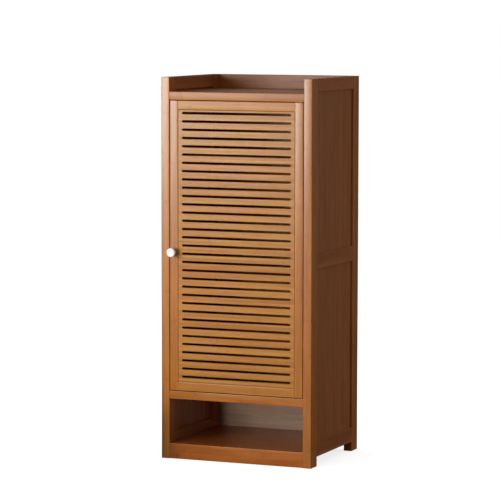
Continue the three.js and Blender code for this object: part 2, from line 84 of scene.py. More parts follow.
camera_data = bpy.data.cameras.new("camera")
camera_data.lens = camera_lens
camera_data.sensor_width = camera_film
camera_data.clip_end = camera_sight
camera = add_object("camera", camera_data)
camera.location = camera_place
camera.rotation_euler = Euler((math.pi / 2 - camera_dip, -camera_roll, camera_turn))
bpy.context.scene.camera = camera


# -------- floor
# A plain pale studio floor. It is white to the camera, where it keeps the cabinet's shadow, and
# grey to all other rays, so that it lights the wood little from below and isn't mirrored as white.

floor_reach = 30
floor_matt = 0.9
floor_grey = 0.22
floor_white = 0.95
floor_glow = 0.77
white = (1, 1, 1, 1)


def feed(socket, source):
    """Feeds a socket from another node's output, or sets it to a plain value."""
    if isinstance(source, bpy.types.NodeSocket):
        socket.id_data.links.new(source, socket)
    else:
        socket.default_value = source


def feed_named(node, sources):
    """Feeds a node's inputs by their names."""
    for title, source in sources.items():
        feed(node.inputs[title], source)


def add_node(tree, kind, *sources, **settings):
    """A new shader node in a tree, with its settings. Its first inputs are fed in order."""
    node = tree.nodes.new(f"ShaderNode{kind}")
    for setting, value in settings.items():
        setattr(node, setting, value)
    for socket, source in zip(node.inputs, sources):
        feed(socket, source)
    return node


def calculate(tree, operation, *sources):
    """The result of a Math node."""
    return add_node(tree, "Math", *sources, operation=operation).outputs["Value"]


def ray_is(tree, *kinds):
    """One for rays of the named kinds, and zero for all others."""
    path = add_node(tree, "LightPath")
    seen = path.outputs[f"Is {kinds[0]} Ray"]
    for kind in kinds[1:]:
        seen = calculate(tree, "MAXIMUM", seen, path.outputs[f"Is {kind} Ray"])
    return seen


def new_material(name):
    """A material, its node tree and its shader."""
    material = bpy.data.materials.new(name)
    material.use_nodes = True
    return material, material.node_tree, material.node_tree.nodes["Principled BSDF"]


def add_mesh(name, shape, material):
    """Turns a shape into an object of one material."""
    mesh = bpy.data.meshes.new(name)
    shape.to_mesh(mesh)
    shape.free()
    mesh.materials.append(material)
    return add_object(name, mesh)


floor_material, tree, shader = new_material("studio_floor")
seen = ray_is(tree, "Camera", "Transmission")
tone = calculate(tree, "MULTIPLY_ADD", seen, floor_white - floor_grey, floor_grey)
feed_named(shader, {
    "Base Color": add_node(tree, "CombineColor", tone, tone, tone).outputs["Color"],
    "Roughness": floor_matt,
    "Specular IOR Level": 0,
    "Emission Color": white,
    "Emission Strength": calculate(tree, "MULTIPLY", seen, floor_glow),
})

floor_shape = bmesh.new()
bmesh.ops.create_grid(floor_shape, x_segments=1, y_segments=1, size=floor_reach)
floor = add_mesh("studio_floor", floor_shape, floor_material)


# -------- light
# A key softbox at the left front, whose sheen fades out at half height, a low front one that isn't
# mirrored, one at the right and one behind, in a dim even world. Black cards shade the lower left
# corner, and darken what the right side mirrors.

world_fill = 0.25
world_gloss = 0.2
key_colour = (0.95, 1, 0.97)
card_black = (0.01, 0.01, 0.01, 1)
side_card_near = 0.3
side_card_far = 1.3
side_card_ends = (-2.5, 6.0)
side_card_lift = 0.002
side_card_height = 4.0
low_cards_front = -0.8
low_cards_lift = 0.01

bpy.context.scene.view_settings.view_transform = "Standard"
world = bpy.data.worlds.new("studio")
bpy.context.scene.world = world
world.use_nodes = True
background = world.node_tree.nodes["Background"]
feed(background.inputs["Color"], white)
seen = ray_is(world.node_tree, "Camera", "Transmission")
mirrored = ray_is(world.node_tree, "Glossy")
fill = calculate(world.node_tree, "MULTIPLY_ADD", mirrored, world_gloss - world_fill, world_fill)
feed(background.inputs["Strength"], calculate(world.node_tree, "MAXIMUM", seen, fill))


def softbox(name, place, target, size, power, colour=white[:3]):
    """A rectangular area lamp that faces a target."""
    data = bpy.data.lights.new(name, "AREA")
    data.shape = "RECTANGLE"
    data.size, data.size_y = size
    data.energy = power
    data.color = colour
    lamp = add_object(name, data)
    lamp.location = place
    lamp.rotation_euler = (Vector(target) - Vector(place)).to_track_quat("-Z", "Y").to_euler()
    return lamp


def verts_in(made):
    return [item for item in made["geom"] if isinstance(item, bmesh.types.BMVert)]


def black_card(name, line, *steps):
    """A black card, which starts as a line and is drawn out by steps. The camera doesn't see it."""
    material, tree, shader = new_material(name)
    feed_named(shader, {"Base Color": card_black, "Specular IOR Level": 0})
    shape = bmesh.new()
    edges = [shape.edges.new([shape.verts.new(end) for end in line])]
    for step in steps:
        verts = verts_in(bmesh.ops.extrude_edge_only(shape, edges=edges))
        bmesh.ops.translate(shape, verts=verts, vec=step)
        edges = [edge for edge in shape.edges if set(edge.verts) == set(verts)]
    card = add_mesh(name, shape, material)
    card.visible_camera = False
    return card


line = [(side_card_near, end, side_card_lift) for end in side_card_ends]
side_card = black_card("side_card", line, (side_card_far - side_card_near, 0, 0), (0, 0, side_card_height))
side_card.visible_diffuse = False
side_card.visible_shadow = False
for name, ends, height in (("corner_card", (-0.5, -0.28), 0.16), ("low_card", (-1.5, -0.4), 0.38)):
    line = [(end, low_cards_front, low_cards_lift) for end in ends]
    black_card(name, line, (0, 0, height))
softbox(
    "key_softbox", place=(-1.7, -3.0, 1.3), target=(0, 0, 1.2), size=(1.7, 1.2), power=60, colour=key_colour,
)
front_softbox = softbox(
    "front_softbox", place=(-0.6, -4.2, 0.3), target=(0, 0, 0.3), size=(0.6, 0.4), power=58,
)
front_softbox.visible_glossy = False
softbox("side_softbox", place=(3.25, 2.0, 1.0), target=(0.25, 0, 0.6), size=(2.0, 2.0), power=20)
softbox("back_softbox", place=(-3.6, 1.8, 1.8), target=(0, 0, 0.7), size=(2.0, 2.0), power=50)


# -------- posts
# Four corner posts of carbonised bamboo: strips glued side by side, planed with a slightly crowned
# face, and lacquered. Stopped grooves take the tenons and panels of the sides and the back, and
# each foot is bored for its glide.

TO_SIDE, TO_BACK, UP = AXES = (0, 1, 2)
GRAIN_TURN = {TO_SIDE: (0, 0, 0), TO_BACK: (0, 0, -math.pi / 2), UP: (0, math.pi / 2, 0)}

post_edge = 0.0014
post_end = 0.0008
crown_rise = 0.0006
foot_gap = 0.0005
groove_depth = 0.008
groove_stop = 0.006
play = 0.0002
disc_steps = 24
disc_margin = 1.15
sharp_from = math.radians(30)
smooth_from = 0.99
square_on = 0.999
same = 1e-6

# A grain is how often a pattern repeats in a metre, along the strips and across them. A tone of 0
# is pale and 1 is deep, and a strip is so wide and so thick.
upright_tones = ((0.53, 0.178, 0.032), (0.39, 0.116, 0.018))
upright_gloss = 0.85
frame_strip = (0.007, 0.02)
frame_contrast = 0.75
frame_gloss = 0.6
bamboo_relief = (0.35, 0.0003)
cane_length = 3
cloud_grain = (5, 40, 40)
cloud_tone = (0.15, 0.85)
ripe_grain = (11, 90, 90)
ripe_share = 0.9
ripe_from = 0.4
reddish = (1.04, 0.95, 0.92, 1)
greenish = (0.97, 1.06, 0.86, 1)
fibre_grain = (9, 900, 900)
fibre_tone = (-0.3, 0.3)
noise_range = (0.3, 0.7)
knuckle_gap = 0.22
knuckle_spread = 0.08
knuckle_line = (0.0002, 0.0022)
knuckle_halo = (0.001, 0.015)
halo_tone = 0.15
wander_grain = (0, 160, 160)
wander = 0.006
burnt = (0.32, 0.2, 0.13, 1)
knuckle_dark = 0.28
fleck_grain = (45, 1600, 1600)
fleck_line = (0.62, 0.78)
fleck_dark = 0.3
glue_line = (0.455, 0.495)
glue_dark = 0.25
lacquer_matt = 0.23
fibre_matt = 0.12
dark_matt = 0.15
glue_sink = -0.6
knuckle_rise = 0.4


def surface_group(name, **kinds):
    """A node group that gives a surface's colour, roughness and height: its tree, and its two ends."""
    tree = bpy.data.node_groups.new(name, "ShaderNodeTree")
    for title, kind in {"Vector": "Vector", **kinds}.items():
        tree.interface.new_socket(name=title, in_out="INPUT", socket_type=f"NodeSocket{kind}")
    for title, kind in (("Color", "Color"), ("Roughness", "Float"), ("Height", "Float")):
        tree.interface.new_socket(name=title, in_out="OUTPUT", socket_type=f"NodeSocket{kind}")
    return tree, tree.nodes.new("NodeGroupInput").outputs, tree.nodes.new("NodeGroupOutput").inputs


def stretched_noise(tree, place, stretch, detail=2, roughness=0.5):
    """Noise that is drawn out along the grain."""
    scaled = add_node(tree, "VectorMath", place, stretch, operation="MULTIPLY")
    noise = add_node(tree, "TexNoise", scaled.outputs["Vector"])
    feed_named(noise, {"Scale": 1, "Detail": detail, "Roughness": roughness})
    return noise.outputs["Fac"]


def ramp(tree, value, low, high, start=0, end=1):
    """Maps a value from one range to another, with a smooth start and end."""
    node = add_node(tree, "MapRange", value, low, high, start, end, interpolation_type="SMOOTHSTEP")
    return node.outputs["Result"]


def mix_colours(tree, factor, first, second, kind="MIX"):
    node = add_node(tree, "Mix", factor, data_type="RGBA", blend_type=kind)
    colours = [socket for socket in node.inputs if socket.type == "RGBA"]
    feed(colours[0], first)
    feed(colours[1], second)
    return next(socket for socket in node.outputs if socket.type == "RGBA")


def laminated_bamboo():
    """The node group of bamboo strips. The vector's X runs along the grain, and Y across the strips."""
    tree, given, result = surface_group(
        "laminated_bamboo", Pale="Color", Deep="Color", Width="Float", Depth="Float", Contrast="Float",
    )

    def maths(operation, *sources):
        return calculate(tree, operation, *sources)

    # Which strip this is, and a few numbers of its own.
    along_grain, across, inward = add_node(tree, "SeparateXYZ", given["Vector"]).outputs
    row = maths("DIVIDE", across, given["Width"])
    ply = maths("DIVIDE", inward, given["Depth"])
    strip = add_node(tree, "CombineXYZ", maths("FLOOR", row), maths("FLOOR", ply)).outputs[0]
    chance = add_node(tree, "TexWhiteNoise", strip).outputs["Color"]
    own_tone, own_start, own_gap = add_node(tree, "SeparateColor", chance).outputs

    # Each strip comes from another place in a cane, so its fibres start elsewhere.
    start = maths("MULTIPLY_ADD", own_start, cane_length, along_grain)
    cane = add_node(tree, "CombineXYZ", start, across, inward).outputs[0]
    cloud = stretched_noise(tree, cane, cloud_grain)
    ripeness = stretched_noise(tree, cane, ripe_grain, detail=1)
    fibre = stretched_noise(tree, cane, fibre_grain, detail=3, roughness=0.6)
    fleck = stretched_noise(tree, cane, fleck_grain, detail=1)

    # A knuckle every quarter of a metre or so, whose line wanders a little across the strip.
    gap = maths("MULTIPLY_ADD", own_gap, knuckle_spread, knuckle_gap)
    bent = maths("MULTIPLY_ADD", stretched_noise(tree, cane, wander_grain, detail=1), wander, start)
    cycle = maths("FRACT", maths("DIVIDE", bent, gap))
    distance = maths("MULTIPLY", maths("ABSOLUTE", maths("SUBTRACT", cycle, 0.5)), gap)
    knuckle = ramp(tree, distance, *knuckle_line, start=1, end=0)
    halo = ramp(tree, distance, *knuckle_halo, start=1, end=0)

    # The glue line at the strip's edge.
    centred = maths("SUBTRACT", maths("FRACT", row), 0.5)
    glue = ramp(tree, maths("ABSOLUTE", centred), *glue_line)

    # From pale to deep: the strip's own tone, the clouds and fibres in it, and the knuckle's halo.
    tone = maths("MULTIPLY", maths("SUBTRACT", own_tone, 0.5), given["Contrast"])
    tone = maths("ADD", tone, ramp(tree, cloud, *noise_range, *cloud_tone))
    tone = maths("ADD", tone, ramp(tree, fibre, *noise_range, *fibre_tone))
    tone = maths("MULTIPLY_ADD", halo, halo_tone, tone)
    tone = maths("MAXIMUM", maths("MINIMUM", tone, 1), 0)
    colour = mix_colours(tree, tone, given["Pale"], given["Deep"])
    ripe = maths("MULTIPLY_ADD", own_gap, 0.5, maths("MULTIPLY", ripeness, ripe_share))
    tint = mix_colours(tree, ramp(tree, ripe, ripe_from, 1), reddish, greenish)
    colour = mix_colours(tree, 1, colour, tint, "MULTIPLY")

    # Flecks, knuckles and glue are darker, duller, and sunk or raised.
    dark = maths("MULTIPLY", ramp(tree, fleck, *fleck_line), fleck_dark)
    dark = maths("MAXIMUM", dark, maths("MULTIPLY", knuckle, knuckle_dark))
    dark = maths("MAXIMUM", dark, maths("MULTIPLY", glue, glue_dark))
    feed(result["Color"], mix_colours(tree, 1, colour, mix_colours(tree, dark, white, burnt), "MULTIPLY"))
    matt = maths("MULTIPLY_ADD", fibre, fibre_matt, lacquer_matt)
    feed(result["Roughness"], maths("MULTIPLY_ADD", dark, dark_matt, matt))
    height = maths("MULTIPLY_ADD", glue, glue_sink, fibre)
    feed(result["Height"], maths("MULTIPLY_ADD", knuckle, knuckle_rise, height))
    return tree


bamboo_strips = laminated_bamboo()


def surface_material(name, group, values, relief, turns=()):
    """A material with its colour, roughness and relief from a node group, whose pattern may be turned."""
    material, tree, shader = new_material(name)
    place = add_node(tree, "TexCoord").outputs["Object"]
    for kind, angles in turns:
        turned = add_node(tree, "Mapping", place, vector_type=kind)
        feed(turned.inputs["Rotation"], angles)
        place = turned.outputs["Vector"]
    surface = add_node(tree, "Group", node_tree=group)
    feed_named(surface, {"Vector": place, **values})
    colour, roughness, height = surface.outputs
    bump = add_node(tree, "Bump")
    feed_named(bump, {"Strength": relief[0], "Distance": relief[1], "Height": height})
    feed_named(shader, {"Base Color": colour, "Roughness": roughness, "Normal": bump.outputs["Normal"]})
    return material, shader


def bamboo(name, grain, tones, strip=frame_strip, contrast=frame_contrast, rolled=False, gloss=frame_gloss):
    """Lacquered bamboo whose strips run along one axis, and may be rolled about it by a quarter turn."""
    pale, deep = tones
    values = {"Pale": (*pale, 1), "Deep": (*deep, 1), "Contrast": contrast}
    values["Width"], values["Depth"] = strip
    turns = (("TEXTURE", GRAIN_TURN[grain]), ("POINT", (math.pi / 2 if rolled else 0, 0, 0)))
    material, shader = surface_material(name, bamboo_strips, values, bamboo_relief, turns)
    feed(shader.inputs["Specular IOR Level"], gloss)
    return material


def spans(node):
    """A CAD node's box, as a (low, high) span along each axis."""
    return list(zip(*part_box(node)))


def middle_of(node):
    return Vector([sum(span) / 2 for span in spans(node)])


def width_of(node, axis=TO_SIDE):
    return spans(node)[axis][1] - spans(node)[axis][0]


def other_axes(axis):
    return [other for other in AXES if other != axis]


def along(axis, length):
    """A step along an axis."""
    return Vector([length * (other == axis) for other in AXES])


def reach_of(verts, axis):
    """The lowest and the highest place of some vertices along an axis."""
    places = [vert.co[axis] for vert in verts]
    return min(places), max(places)


def plank(span, grain, edge_radius=0, grooved=(), groove=None, depth=groove_depth):
    """A length of wood from its span along each axis. Its low and high edges may each have a groove."""
    thick, wide = other_axes(grain)
    (near, far), (low, high) = span[thick], span[wide]

    def channel(level, inwards):
        front, back = groove
        return [(front, level), (front, level + inwards), (back, level + inwards), (back, level)]

    section = [(near, low)]
    if "low" in grooved:
        section += channel(low, depth)
    section += [(far, low), (far, high)]
    if "high" in grooved:
        section += reversed(channel(high, -depth))
    section += [(near, high)]
    shape = bmesh.new()
    start = along(grain, span[grain][0])
    corners = [shape.verts.new(start + along(thick, across) + along(wide, up)) for across, up in section]
    made = bmesh.ops.extrude_face_region(shape, geom=[shape.faces.new(corners)])
    bmesh.ops.translate(shape, verts=verts_in(made), vec=along(grain, span[grain][1] - span[grain][0]))
    bmesh.ops.recalc_face_normals(shape, faces=shape.faces)
    if edge_radius:
        round_off(shape, corner_edges(shape, grain), edge_radius)
    return shape


def round_off(shape, edges, radius, steps=4):
    """Rounds edges over to an arc."""
    made = bmesh.ops.bevel(
        shape, geom=edges, offset=radius, segments=steps, profile=0.5, affect="EDGES", material=-1,
    )
    for face in made["faces"]:
        face.smooth = True


def corner_edges(shape, grain):
    """The outer edges of a length of wood, along its grain."""
    sides = [(axis, reach_of(shape.verts, axis)) for axis in other_axes(grain)]
    found = []
    for edge in shape.edges:
        first, last = (vert.co for vert in edge.verts)
        outer = all(min(abs(first[axis] - level) for level in reach) < same for axis, reach in sides)
        if outer and abs(last[grain] - first[grain]) > square_on * edge.calc_length():
            found.append(edge)
    return found


def looking(face, axis, way):
    return face.normal[axis] * way > square_on


def flat_face(shape, axis, way, over=None):
    """The largest face that looks one way along an axis, or the smallest of them under a point."""
    faces = [face for face in shape.faces if looking(face, axis, way)]
    if over is None:
        return max(faces, key=lambda face: face.calc_area())
    for other in other_axes(axis):
        reaches = [(face, *reach_of(face.verts, other)) for face in faces]
        faces = [face for face, low, high in reaches if low < over[other] < high]
    return min(faces, key=lambda face: face.calc_area())


def ease_ends(shape, grain, by):
    """Takes the sharp rim off both ends of a length of wood."""
    rims = [edge for way in (-1, 1) for edge in flat_face(shape, grain, way).edges]
    round_off(shape, rims, by, steps=1)


def crown(shape, axis, way, across, edge_radius, steps=8):
    """Makes a long flat face slightly convex over its width, as a plane and sander leave it."""
    level = flat_face(shape, axis, way).verts[0].co[axis]
    near, far = reach_of(shape.verts, across)
    ends = []
    for edge in shape.edges:
        start, end = reach_of(edge.verts, across)
        if end - start > (far - near) / 2 and any(looking(face, axis, way) for face in edge.link_faces):
            ends.append(edge)
    bmesh.ops.subdivide_edges(shape, edges=ends, cuts=steps - 1)
    for vert in shape.verts:
        if abs(vert.co[axis] - level) < edge_radius + same:
            off = (2 * vert.co[across] - near - far) / (far - near)
            vert.co[axis] -= way * crown_rise * off * off
    shape.normal_update()
    for face in shape.faces:
        if face.normal[axis] * way > smooth_from:
            face.smooth = True


def mark_out(shape, face, rectangle):
    """Splits a rectangle off a flat face, and returns it. It has a (low, high) span along two axes."""
    normal = face.normal.copy()
    middle = face.calc_center_bounds()
    bmesh.ops.inset_individual(shape, faces=[face], thickness=0)
    corners = list(face.verts)
    for axis, span in rectangle.items():
        middle[axis] = sum(span) / 2
        for vert in corners:
            vert.co[axis] = span[0] if vert.co[axis] < middle[axis] else span[1]
    bmesh.ops.remove_doubles(shape, verts=corners, dist=same)
    bmesh.ops.dissolve_degenerate(shape, edges=shape.edges, dist=same)
    shape.normal_update()
    alike = [face for face in shape.faces if face.normal.dot(normal) > square_on]
    return min(alike, key=lambda face: (face.calc_center_bounds() - middle).length)


def push(shape, face, step):
    """Moves a flat face by a step, with new walls behind it, and returns it."""
    moved = bmesh.ops.extrude_discrete_faces(shape, faces=[face])["faces"][0]
    bmesh.ops.translate(shape, verts=moved.verts, vec=step)
    shape.normal_update()
    return moved


def press(shape, axis, way, rectangle, depth):
    """Sinks a rectangle into the largest flat face, or raises it where the depth is negative."""
    push(shape, mark_out(shape, flat_face(shape, axis, way), rectangle), along(axis, -way * depth))


def mark_disc(shape, axis, way, centre, radius):
    """Splits a disc off a flat face under a point, and returns it."""
    margin = disc_margin * radius
    around = {other: (centre[other] - margin, centre[other] + margin) for other in other_axes(axis)}
    square = mark_out(shape, flat_face(shape, axis, way, centre), around)
    middle = square.calc_center_bounds()
    bmesh.ops.subdivide_edges(shape, edges=square.edges[:], cuts=disc_steps // 4 - 1)
    disc = flat_face(shape, axis, way, middle)
    bmesh.ops.inset_individual(shape, faces=[disc], thickness=0)
    for vert in disc.verts:
        vert.co = middle + radius * (vert.co - middle).normalized()
    return disc


def bore(shape, axis, way, centre, radius, depth):
    """Drills a round hole into a flat face, and returns the face at its bottom."""
    return push(shape, mark_disc(shape, axis, way, centre, radius), along(axis, -way * depth))


def add_piece(shape, name, material, body, node=None):
    """Turns a worked shape into a piece of the cabinet, which stands for a CAD node if one is named."""
    bmesh.ops.recalc_face_normals(shape, faces=shape.faces)
    for edge in shape.edges:
        edge.smooth = edge.calc_face_angle(0) < sharp_from
    piece = add_mesh(name, shape, material)
    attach(piece, body)
    if node:
        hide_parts(node)


upright_bamboo = bamboo("bamboo_upright", UP, upright_tones, gloss=upright_gloss)
for side, inner_way in (("left", 1), ("right", -1)):
    side_groove = {
        TO_SIDE: spans(f"{side}_upper_panel")[TO_SIDE],
        UP: (spans(f"{side}_bottom_rail")[UP][0] + groove_stop, cad_high.z - groove_stop),
    }
    back_groove = {
        TO_BACK: spans("back_upper_panel")[TO_BACK],
        UP: (spans("niche_floor")[UP][1] - groove_depth, cad_high.z - groove_stop),
    }
    for place, rail_way in (("front", 1), ("back", -1)):
        node = f"{side}_{place}_post"
        glide = f"glide_{side}_{place}"
        wide, deep, high = spans(node)
        post = plank([wide, deep, (foot_gap, high[1])], UP, post_edge)
        ease_ends(post, UP, post_end)
        crown(post, TO_BACK, -rail_way, TO_SIDE, post_edge)
        foot_hole = spans(glide)[UP][1] + play - foot_gap
        bore(post, UP, -1, middle_of(glide), width_of(glide) / 2 + play, foot_hole)
        press(post, TO_BACK, rail_way, side_groove, groove_depth)
        if place == "back":
            press(post, TO_SIDE, inner_way, back_groove, groove_depth)
        add_piece(post, f"post_{side}_{place}", upright_bamboo, "carcass", node)


# -------- side frames
# Each side is a frame of three rails with stub tenons in the posts, round two thin boards of wide
# strips that stand loose in the grooves, a few millimetres behind the frame's face.

rail_edge = 0.0015
panel_edge = 0.0004
wide_strip = (0.02, 0.006)
side_tones = ((0.48, 0.158, 0.052), (0.36, 0.107, 0.03))

rail_bamboo = bamboo("bamboo_side_rail", TO_BACK, side_tones)
panel_bamboo = bamboo("bamboo_side_panel", UP, side_tones, wide_strip, rolled=True)


def shoulders(low_node, high_node, axis):
    """The clear span between two nodes, less a hair for the joint at each end."""
    return spans(low_node)[axis][1] + play, spans(high_node)[axis][0] - play


def tenoned_rail(node, grain, between, grooved, tongue, groove=None, edge=rail_edge, depth=groove_depth):
    """A rail between two uprights, with a stub tenon at each end, and grooved for the panels next to it."""
    box = spans(node)
    full, height = box[grain], box[UP]
    box[grain] = shoulders(*between, grain)
    rail = plank(box, grain, edge, grooved, groove or tongue, depth)
    low_stop, high_stop = (depth if place in grooved else groove_stop for place in ("low", "high"))
    thick = next(axis for axis in other_axes(grain) if axis != UP)
    tenon = {thick: tongue, UP: (height[0] + low_stop, height[1] - high_stop)}
    for way, length in ((-1, box[grain][0] - full[0]), (1, full[1] - box[grain][1])):
        press(rail, grain, way, tenon, -length)
    return rail


def thin_panel(node, name, material):
    """A thin loose board with its edges just eased."""
    board = plank(spans(node), UP)
    round_off(board, board.edges[:], panel_edge, steps=1)
    add_piece(board, name, material, "carcass", node)


for side in ("left", "right"):
    posts = (f"{side}_front_post", f"{side}_back_post")
    tongue = spans(f"{side}_upper_panel")[TO_SIDE]
    for level, grooved in (("top", ("low",)), ("middle", ("low", "high")), ("bottom", ("high",))):
        node = f"{side}_{level}_rail"
        rail = tenoned_rail(node, TO_BACK, posts, grooved, tongue)
        add_piece(rail, f"side_rail_{side}_{level}", rail_bamboo, "carcass", node)
    for level in ("upper", "lower"):
        thin_panel(f"{side}_{level}_panel", f"side_panel_{side}_{level}", panel_bamboo)


# -------- boards
# The tray's floor, the board under the door and the niche's floor run across the cabinet and are
# notched round the posts. Thick bamboo board with rounded edges, grooved for the back panels. The
# niche's floor and the plinth, which ends just off the floor, get darker, redder tones: painted shade
# for the low parts of the cabinet.

board_edge = 0.0012
plinth_gap = 0.001
flat_from = 0.9
board_strip = (0.0065, 0.02)
board_gloss = 0.42
board_tones = ((0.53, 0.178, 0.04), (0.39, 0.118, 0.022))
# Darker, redder tones for the plinth and the niche's floor: painted shade at the bottom of the cabinet.
low_painted_shade_tones = ((0.5, 0.152, 0.034), (0.36, 0.095, 0.018))

board_bamboo = bamboo("bamboo_board", TO_SIDE, board_tones, board_strip, gloss=board_gloss)
low_painted_shade_bamboo = bamboo("bamboo_low_board_painted_shade", TO_SIDE, low_painted_shade_tones, board_strip, gloss=board_gloss)
back_tongue = spans("back_upper_panel")[TO_BACK]
pin_at = middle_of("top_pivot_pin")
pin_radius = width_of("top_pivot_pin") / 2


def score(shape, axis, level):
    """Draws a line right round a shape at a level, without parting it."""
    whole = shape.verts[:] + shape.edges[:] + shape.faces[:]
    bmesh.ops.bisect_plane(shape, geom=whole, plane_co=along(axis, level), plane_no=along(axis, 1))


def notched_board(node, grooved):
    """A board with its back edge grooved across, and with wings between the posts."""
    (left, right), deep, high = spans(node)
    inner = shoulders("left_front_post", "right_front_post", TO_SIDE)
    notches = shoulders("left_front_post", "left_back_post", TO_BACK)
    board = plank([inner, deep, high], TO_SIDE, 0, (grooved,), back_tongue)
    for notch in notches:
        score(board, TO_BACK, notch)
    for way, reach in ((-1, inner[0] - left), (1, right - inner[1])):
        wing = flat_face(board, TO_SIDE, way, (0, sum(notches) / 2, sum(high) / 2))
        push(board, wing, along(TO_SIDE, way * reach))
    rims = []
    for edge in board.edges:
        level_faces = [abs(face.normal.z) > flat_from for face in edge.link_faces]
        in_groove = all(min(abs(vert.co.y - line) for line in back_tongue) < same for vert in edge.verts)
        outside = min(abs(edge.verts[0].co.z - level) for level in high) < same
        if level_faces.count(True) == 1 and outside and not in_groove:
            rims.append(edge)
    round_off(board, rims, board_edge)
    return board


for node, name, grooved, wood in (
    ("top_board", "tray_floor", "low", board_bamboo),
    ("middle_board", "door_compartment_floor", "high", board_bamboo),
    ("niche_floor", "niche_floor_board", "high", low_painted_shade_bamboo),
):
    board = notched_board(node, grooved)
    low, high = spans(node)[UP]
    if node == "top_board":
        bore(board, UP, -1, pin_at, pin_radius + play, spans("top_pivot_pin")[UP][1] + play - low)
    if node == "middle_board":
        bore(board, UP, 1, pin_at, pin_radius + play, high + play - spans("bottom_pivot_pin")[UP][0])
    if node != "niche_floor":
        crown(board, TO_BACK, -1, UP, board_edge)
    add_piece(board, name, wood, "carcass", node)

wide, deep, high = spans("plinth")
plinth_board = plank([wide, deep, (plinth_gap, high[1])], TO_SIDE, board_edge)
crown(plinth_board, TO_BACK, -1, UP, board_edge)
add_piece(plinth_board, "plinth_board", low_painted_shade_bamboo, "carcass", "plinth")


# -------- back
# Cross rails tenoned into the back posts, the raised board behind the tray, and three thin boards
# loose in their grooves. The niche's back board and its rail are paler and greyer than the other bamboo.

niche_strip = (0.009, 0.006)
niche_tones = ((0.47, 0.31, 0.24), (0.37, 0.235, 0.175))

niche_bamboo = bamboo("bamboo_niche_back", TO_SIDE, niche_tones, niche_strip, rolled=True)

back_posts = ("left_back_post", "right_back_post")
for node, name, grooved, wood in (
    ("tray_back", "tray_back_board", (), board_bamboo),
    ("back_middle_rail", "back_rail_middle", ("low", "high"), board_bamboo),
    ("back_stretcher", "back_rail_niche", ("low",), niche_bamboo),
):
    rail = tenoned_rail(node, TO_SIDE, back_posts, grooved, back_tongue)
    add_piece(rail, name, wood, "carcass", node)

thin_panel("back_upper_panel", "back_board_upper", panel_bamboo)
thin_panel("back_lower_panel", "back_board_lower", panel_bamboo)
thin_panel("niche_back_panel", "niche_back_board", niche_bamboo)


# -------- shelves
# Four loose bamboo shelves with well rounded edges. Each rests on two battens, whose ends are
# dowelled and glued between the posts.

shelf_edge = 0.0025
shelf_count = 4
shelf_tones = ((0.44, 0.155, 0.042), (0.32, 0.1, 0.023))

shelf_bamboo = bamboo("bamboo_shelf", TO_SIDE, shelf_tones, wide_strip, rolled=True)

for number in range(1, shelf_count + 1):
    shelf = plank(spans(f"shelf_{number}"), TO_SIDE, shelf_edge)
    ease_ends(shelf, TO_SIDE, panel_edge)
    add_piece(shelf, f"shelf_board_{number}", shelf_bamboo, "carcass", f"shelf_{number}")
    for side in ("left", "right"):
        node = f"shelf_bearer_{side}_{number}"
        batten = plank(spans(node), TO_BACK, rail_edge)
        add_piece(batten, f"shelf_batten_{side}_{number}", rail_bamboo, "carcass", node)


# -------- glides
# A moulded brown nylon disc under each post, let into its foot and pinned from below. It stands
# half a millimetre proud, and keeps the wood off a wet floor.

glide_chamfer = 0.0006
nylon_colour = (0.15, 0.08, 0.045)
lathe_steps = 48
mottle_grain = (90, 90, 90)
mottled_matt = 0.25
tooth_matt = 0.06
tooth_height = 0.0001
nylon_grain = (1500, 1500, 1500)


def handled_surface():
    """The node group of a moulded, glazed or plated surface, with faint mottling and a fine tooth."""
    tree, given, result = surface_group(
        "handled_surface", Colour="Color", Mottling="Float", Dullness="Float", Stretch="Vector",
    )
    cloud = stretched_noise(tree, given["Vector"], mottle_grain, detail=3)
    tooth = stretched_noise(tree, given["Vector"], given["Stretch"], roughness=0.6)
    unevenness = calculate(tree, "SUBTRACT", cloud, 0.5)
    tint = add_node(tree, "VectorMath", given["Colour"], operation="SCALE")
    feed(tint.inputs["Scale"], calculate(tree, "MULTIPLY_ADD", unevenness, given["Mottling"], 1))
    feed(result["Color"], tint.outputs["Vector"])
    spread = calculate(tree, "MULTIPLY_ADD", unevenness, mottled_matt, 1)
    worn = calculate(tree, "MULTIPLY", given["Dullness"], spread)
    feed(result["Roughness"], calculate(tree, "MULTIPLY_ADD", tooth, tooth_matt, worn))
    feed(result["Height"], tooth)
    return tree


handled = handled_surface()


def hard_finish(name, colour, roughness, mottling, grain, tooth, metallic=0):
    """A moulded, glazed or plated finish."""
    values = {"Colour": (*colour, 1), "Mottling": mottling, "Dullness": roughness, "Stretch": grain}
    material, shader = surface_material(name, handled, values, (tooth, tooth_height))
    feed(shader.inputs["Metallic"], metallic)
    return material


def turn(profile, flat=flat_from):
    """A turned solid that stands on the origin, from (radius, height) points."""
    shape = bmesh.new()
    points = [shape.verts.new((radius, 0, height)) for radius, height in profile]
    pairs = list(zip(points, points[1:]))
    if profile[0][0] > 0:
        pairs.append((points[-1], points[0]))
    line = [shape.edges.new(pair) for pair in pairs]
    bmesh.ops.spin(
        shape, geom=points + line, axis=(0, 0, 1), angle=math.tau, steps=lathe_steps, use_merge=True,
    )
    bmesh.ops.remove_doubles(shape, verts=shape.verts, dist=same)
    bmesh.ops.recalc_face_normals(shape, faces=shape.faces)
    for face in shape.faces:
        face.smooth = abs(face.normal.z) < flat
    return shape


def chamfered(radius, height, foot, top, hole=0):
    """The outline of a turned disc or sleeve, with the chamfers at its foot and top."""
    outer = [(radius - foot, 0), (radius, foot), (radius, height - top), (radius - top, height)]
    if hole:
        return [(hole + foot, 0), *outer, (hole + top, height), (hole, height - top), (hole, foot)]
    return [(0, 0), *outer, (0, height)]


def put(shape, place, axis=UP, way=1):
    """Sets a turned shape with its foot on a place and its axis one way along an axis."""
    turned = along(UP, 1).rotation_difference(along(axis, way)).to_matrix().to_4x4()
    bmesh.ops.transform(shape, matrix=Matrix.Translation(place) @ turned, verts=shape.verts)


